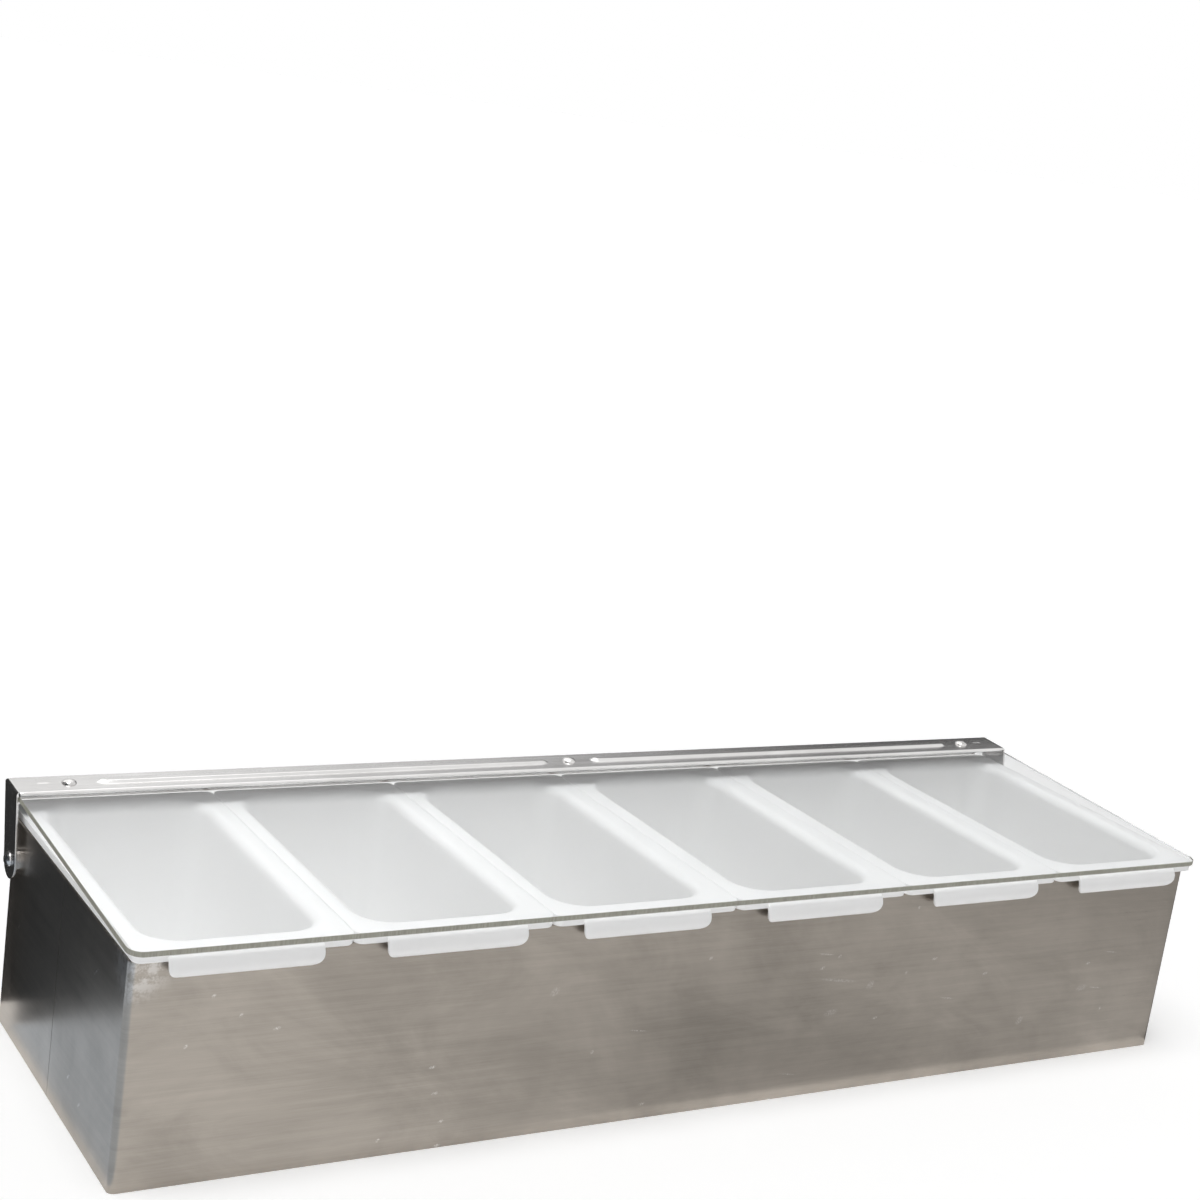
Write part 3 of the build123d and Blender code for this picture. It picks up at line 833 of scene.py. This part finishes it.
ball = add(rivet_cluster, "GeometryNodeMeshUVSphere")
for name, value in (("Segments", 32), ("Rings", 20), ("Radius", 1.0)):
    ball.inputs[name].default_value = value
dome_stretch = vector_of(given["Head Radius"], given["Head Radius"], given["Head Height"])
dome = moved(ball.outputs["Mesh"], (0, 0, 0), dome_stretch)
spot = add(rivet_cluster, "GeometryNodeInputPosition")
split = add(rivet_cluster, "ShaderNodeSeparateXYZ")
join(rivet_cluster, spot.outputs[0], split.inputs[0])
trimmed = add(rivet_cluster, "GeometryNodeSetPosition")
join(rivet_cluster, dome, trimmed.inputs["Geometry"])
flat_foot = vector_of(split.outputs[0], split.outputs[1], calc(rivet_cluster, "MAXIMUM", split.outputs[2], 0.0))
join(rivet_cluster, flat_foot, trimmed.inputs["Position"])
shank = add(rivet_cluster, "GeometryNodeMeshCylinder")
shank.inputs["Vertices"].default_value = rivet_sides
join(rivet_cluster, given["Shank Radius"], shank.inputs["Radius"])
join(rivet_cluster, given["Grip"], shank.inputs["Depth"])
shank_place = vector_of(z=calc(rivet_cluster, "MULTIPLY", given["Grip"], -0.5))
tail = add(rivet_cluster, "GeometryNodeMeshCone")
tail.inputs["Vertices"].default_value = rivet_sides
join(rivet_cluster, given["Tail Radius"], tail.inputs["Radius Top"])
tapered = calc(rivet_cluster, "MULTIPLY", given["Tail Radius"], tail_taper)
join(rivet_cluster, tapered, tail.inputs["Radius Bottom"])
join(rivet_cluster, given["Tail Height"], tail.inputs["Depth"])
grip_end = calc(rivet_cluster, "MULTIPLY", given["Grip"], -1)
tail_place = vector_of(z=calc(rivet_cluster, "SUBTRACT", grip_end, given["Tail Height"]))
whole = add(rivet_cluster, "GeometryNodeJoinGeometry")
for geometry in (
    trimmed.outputs[0], moved(shank.outputs["Mesh"], shank_place), moved(tail.outputs["Mesh"], tail_place),
):
    rivet_cluster.links.new(geometry, whole.inputs[0])
line = add(rivet_cluster, "GeometryNodeMeshLine")
join(rivet_cluster, given["Count"], line.inputs["Count"])
join(rivet_cluster, given["Start"], line.inputs["Start Location"])
join(rivet_cluster, given["Step"], line.inputs["Offset"])
turned = add(rivet_cluster, "ShaderNodeVectorMath", operation="MULTIPLY_ADD")
join(rivet_cluster, given["Turn Step"], turned.inputs[0])
join(rivet_cluster, add(rivet_cluster, "GeometryNodeInputIndex").outputs[0], turned.inputs[1])
join(rivet_cluster, given["Turn"], turned.inputs[2])
placed = add(rivet_cluster, "GeometryNodeInstanceOnPoints")
join(rivet_cluster, line.outputs[0], placed.inputs["Points"])
join(rivet_cluster, whole.outputs[0], placed.inputs["Instance"])
join(rivet_cluster, turned.outputs[0], placed.inputs["Rotation"])
realized = add(rivet_cluster, "GeometryNodeRealizeInstances")
join(rivet_cluster, placed.outputs[0], realized.inputs[0])
coloured = add(rivet_cluster, "GeometryNodeSetMaterial")
join(rivet_cluster, realized.outputs[0], coloured.inputs["Geometry"])
join(rivet_cluster, given["Material"], coloured.inputs["Material"])
join(rivet_cluster, coloured.outputs[0], made["Geometry"])


def set_rivets(name, body, replaced, **values):
    """Set one body's rivets as a single piece, in place of its CAD rivets."""
    carrier = bpy.data.objects.new(name, bpy.data.meshes.new(name))
    bpy.context.scene.collection.objects.link(carrier)
    nodes_modifier = carrier.modifiers.new("rivets", "NODES")
    nodes_modifier.node_group = rivet_cluster
    for item in rivet_cluster.interface.items_tree:
        if item.in_out == "INPUT" and item.name.replace(" ", "_") in values:
            nodes_modifier[item.identifier] = values[item.name.replace(" ", "_")]
    bpy.context.view_layer.update()
    mesh = bpy.data.meshes.new_from_object(carrier.evaluated_get(bpy.context.evaluated_depsgraph_get()))
    bpy.data.objects.remove(carrier)
    soften(mesh, 50)
    place_piece(name, mesh, None, body, "fittings", *replaced)


rivet_steel, tree, shader, place = start_material("set_rivet_steel")
smudges = use_group(tree, hand_smudges, place, Size=150.0)["Mask"]
dots = noise(tree, place, scale=1100.0, detail=4.0)
join(tree, blend_colours(tree, smudges, rivet_dull, rivet_bright), shader.inputs["Base Color"])
shader.inputs["Metallic"].default_value = 1.0
join(tree, calc(tree, "ADD", gather(tree, "ADD", (dots, 0.15)), rivet_roughness), shader.inputs["Roughness"])
raise_surface(tree, shader, dots, rivet_relief, relief_depth)
dress(rivet_steel, *(name for name in nodes if "rivet" in name or "washer" in name))
first_seat = over_lid(-lid_rivet_x, seat_back, bar_top)
set_rivets(
    "lid_rivets", "lid_assembly", ("lid_rivet_left", "lid_rivet_middle", "lid_rivet_right"),
    Start=first_seat, Step=(lid_rivet_x, 0.0, 0.0), Turn=(lid_tilt, 0.0, 0.0), Grip=lid_rivet_grip,
    Material=rivet_steel,
)
pivot = over_lid(0, pivot_back, pivot_up)
set_rivets(
    "hinge_rivets", "housing", ("hinge_rivet_left", "hinge_rivet_right"),
    Head_Radius=0.003, Head_Height=0.002, Shank_Radius=0.002, Grip=0.0039, Tail_Radius=0.003, Tail_Height=0.0012,
    Count=2, Start=Vector((-hinge_rivet_x, pivot.y, pivot.z)), Step=(2 * hinge_rivet_x, 0.0, 0.0),
    Turn=(0.0, -math.pi / 2, 0.0), Turn_Step=(0.0, math.pi, 0.0), Material=rivet_steel,
)

# Studio: a very wide white floor and surround, two broad soft lights from above and the left, and pale and dark
# cards that stand or lie round the tray and show in its steel alone.
floor_reach = 30.0
white = (1, 1, 1, 1)
floor_white = (0.985, 0.985, 0.985, 1)
floor_glow = 0.26
seen_strength = 1.0
lit_strength = 0.25
tub_bounces = 12
cool = (0.9, 1.0, 1.12, 1)
card_lift = 0.0005
tray_end = 0.2435
front_line = -0.0765
rear_line = 0.0765
side_line = 0.062
ear_line = 0.082
corner_line = -0.236
left_reach = -0.9
right_reach = 1.8
dark_glow = 0.03
dull_reach = 0.2
dull_share = 0.55
suns = (("left_sun", (-0.42, -0.2, 1.4), 0.88, 35), ("top_sun", (-0.08, -0.1, 1.4), 0.78, 22))


def stage_sheet(name, corners):
    """Lay a plain studio sheet."""
    mesh = bpy.data.meshes.new(name)
    mesh.from_pydata(corners, [], [(0, 1, 2, 3)])
    piece = bpy.data.objects.new(name, mesh)
    bpy.context.scene.collection.objects.link(piece)
    material, tree, shader, place = start_material(name + "_paint")
    shader.inputs["Roughness"].default_value = 1.0
    shader.inputs["Specular IOR Level"].default_value = 0.0
    mesh.materials.append(material)
    return piece, tree, shader, place


def lying(left, right, front, back, height=card_lift):
    """Give the corners of a level sheet."""
    return [(left, front, height), (right, front, height), (right, back, height), (left, back, height)]


def standing(left, right, front, back, foot, top):
    """Give the corners of an upright sheet, from its front left foot to its back right top."""
    return [(left, front, foot), (right, back, foot), (right, back, top), (left, front, top)]


def mirrored_card(name, corners, glow, right_glow=None, start=0.0, end=1.0, colour=white, dull_spot=None):
    """Set up a glowing card that only steel mirrors. Its glow may change to the right and be duller round a spot."""
    piece, tree, shader, place = stage_sheet(name, corners)
    shader.inputs["Base Color"].default_value = (0, 0, 0, 1)
    shader.inputs["Emission Color"].default_value = colour
    strength = glow
    if right_glow is not None:
        split = add(tree, "ShaderNodeSeparateXYZ")
        join(tree, place, split.inputs[0])
        strength = ease(tree, split.outputs[0], start, end, glow, right_glow)
    if dull_spot:
        apart = add(tree, "ShaderNodeVectorMath", operation="DISTANCE")
        join(tree, place, apart.inputs[0])
        join(tree, dull_spot, apart.inputs[1])
        dulled = ease(tree, apart.outputs["Value"], 0.0, dull_reach, dull_share, 1.0)
        strength = calc(tree, "MULTIPLY", strength, dulled)
    join(tree, strength, shader.inputs["Emission Strength"])
    piece.visible_camera = False
    piece.visible_diffuse = False
    piece.visible_shadow = False
    piece.visible_transmission = False


_, tree, shader, _ = stage_sheet("floor", lying(-floor_reach, floor_reach, -floor_reach, floor_reach, height=0))
shader.inputs["Base Color"].default_value = floor_white
shader.inputs["Emission Color"].default_value = white
shader.inputs["Emission Strength"].default_value = floor_glow
mirrored_card("side_card", standing(left_reach, -0.2465, side_line, side_line, card_lift, 0.45), 0.035, colour=cool)
mirrored_card("ear_card", standing(-0.32, -tray_end, ear_line, ear_line, card_lift, 0.3), dark_glow)
mirrored_card("corner_card", standing(-tray_end, corner_line, ear_line, ear_line, card_lift, 0.088), dark_glow)
mirrored_card("left_card", standing(-0.38, -0.38, -0.22, side_line, 0.02, 0.45), 0.05, colour=cool)
mirrored_card("left_floor_card", lying(left_reach, -tray_end, -0.5, side_line - card_lift), 0.68, colour=cool)
mirrored_card(
    "front_floor_card", lying(-0.235, 1.5, -1.2, front_line),
    0.92, right_glow=0.42, start=-0.12, end=0.5, dull_spot=(0.04, -0.09, 0),
)
mirrored_card("right_floor_card", lying(tray_end, right_reach, front_line, rear_line), 0.08)
mirrored_card("rear_floor_card", lying(-0.24, right_reach, 0.22, 1.29), 0.12)
mirrored_card("back_card", standing(-1.2, 2.6, 1.3, 1.3, 0.0, 0.95), 0.9, right_glow=0.1, start=0.1, end=1.3)
mirrored_card("high_card", [
    (-1.2, 0.6, 1.6), (2.6, 0.6, 1.6), (2.6, 1.3, 1.0), (-1.2, 1.3, 1.0),
], 1.8, right_glow=0.8, start=0.1, end=1.3)

world = bpy.data.worlds.new("surround")
bpy.context.scene.world = world
world.use_nodes = True
tree = world.node_tree
seen = tree.nodes["Background"]
seen.inputs["Color"].default_value = white
seen.inputs["Strength"].default_value = seen_strength
lit = add(tree, "ShaderNodeBackground")
lit.inputs["Color"].default_value = white
lit.inputs["Strength"].default_value = lit_strength
path = add(tree, "ShaderNodeLightPath").outputs
sight = calc(tree, "MAXIMUM", path["Is Camera Ray"], path["Is Glossy Ray"])
sight = calc(tree, "MAXIMUM", sight, path["Is Transmission Ray"])
sight = calc(tree, "MULTIPLY", sight, calc(tree, "SUBTRACT", 1.0, path["Diffuse Depth"], clamp=True))
chosen = add(tree, "ShaderNodeMixShader")
join(tree, sight, chosen.inputs[0])
join(tree, lit.outputs[0], chosen.inputs[1])
join(tree, seen.outputs[0], chosen.inputs[2])
join(tree, chosen.outputs[0], tree.nodes["World Output"].inputs["Surface"])

for name, sun_from, strength, width in suns:
    sun_data = bpy.data.lights.new(name, "SUN")
    sun_data.energy = strength
    sun_data.angle = math.radians(width)
    sun = bpy.data.objects.new(name, sun_data)
    sun.rotation_euler = Vector(sun_from).to_track_quat("Z", "Y").to_euler()
    sun.visible_transmission = False
    bpy.context.scene.collection.objects.link(sun)

bpy.context.scene.view_settings.view_transform = "Standard"
bpy.context.scene.cycles.diffuse_bounces = tub_bounces
